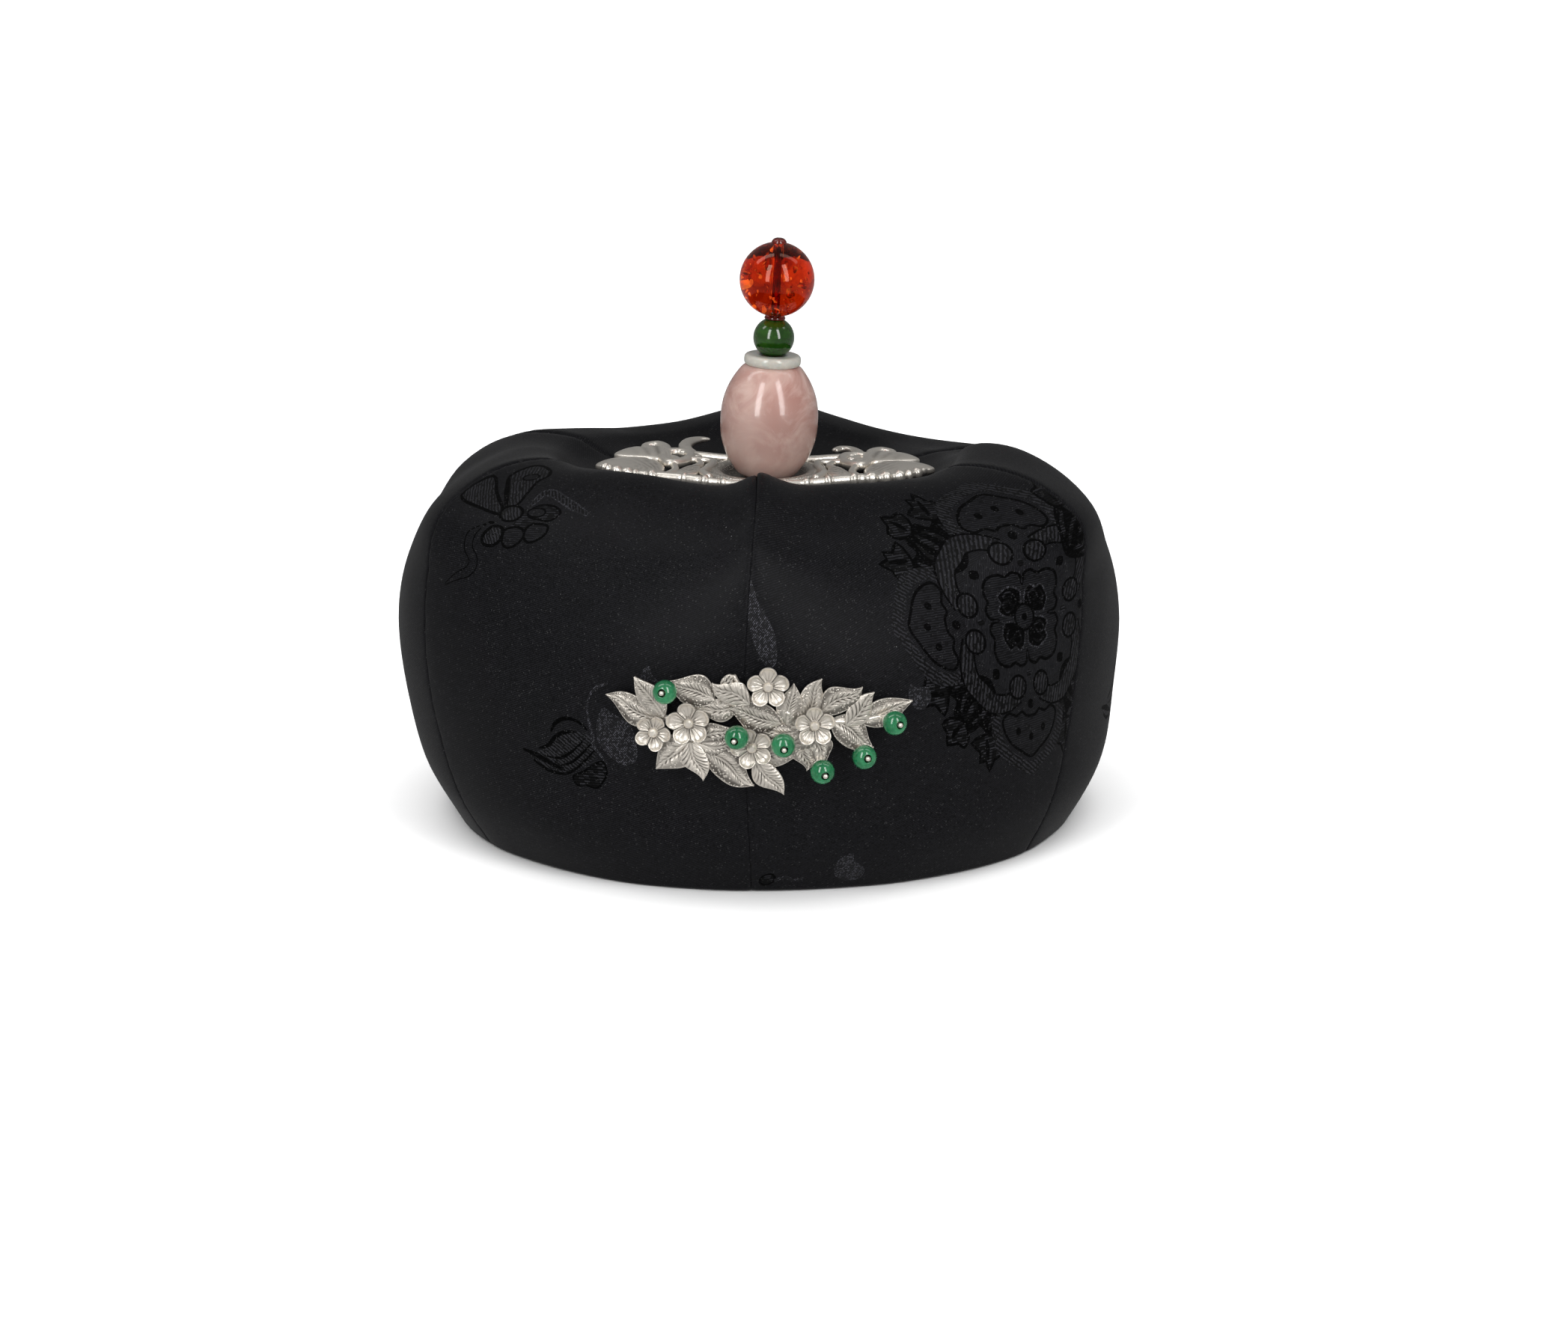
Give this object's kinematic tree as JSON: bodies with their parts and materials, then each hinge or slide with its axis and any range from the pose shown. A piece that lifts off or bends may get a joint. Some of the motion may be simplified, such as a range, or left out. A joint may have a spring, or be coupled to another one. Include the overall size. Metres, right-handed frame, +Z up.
{
  "type": "bridal coronet",
  "caption": "Padded six-gore silk cap, hollow below, with a silver plate and a stack of beads on its dished crown and a flower spray on its front seam.",
  "frame": {"origin": "middle of the bounding box in plan, at the level of the rim that the coronet rests on", "axes": "+Z up through the crown, -Y towards the wearer's front, where the flower spray is"},
  "size_m": [0.156, 0.1642, 0.1247],
  "materials": {
    "silk": "black damask silk, satin ground with a matt woven figure, padded with cotton",
    "silver": "cast silver, satin with polished high spots and darker hollows",
    "wire": "drawn steel wire",
    "rose_quartz": "polished cloudy pink stone",
    "white_jade": "polished pale stone",
    "green_jade": "polished deep green stone",
    "red_bead": "polished dark red resin",
    "amber": "clear red amber with spangles inside",
    "green_glass": "polished opaque green glass"
  },
  "bodies": {
    "root": {"gore_front_right": "silk", "gore_side_right": "silk", "gore_back_right": "silk", "gore_back_left": "silk", "gore_side_left": "silk", "gore_front_left": "silk", "butterfly_plate": "silver", "stack_wire": "wire", "barrel_bead": "rose_quartz", "ring_bead": "white_jade", "green_bead": "green_jade", "spacer_bead": "red_bead", "amber_bead": "amber", "tip_bead": "red_bead", "flower_spray": "silver", "spray_bead_1": "green_glass", "spray_bead_2": "green_glass", "spray_bead_3": "green_glass", "spray_bead_4": "green_glass", "spray_bead_5": "green_glass", "spray_bead_6": "green_glass"}
  },
  "joints": []
}
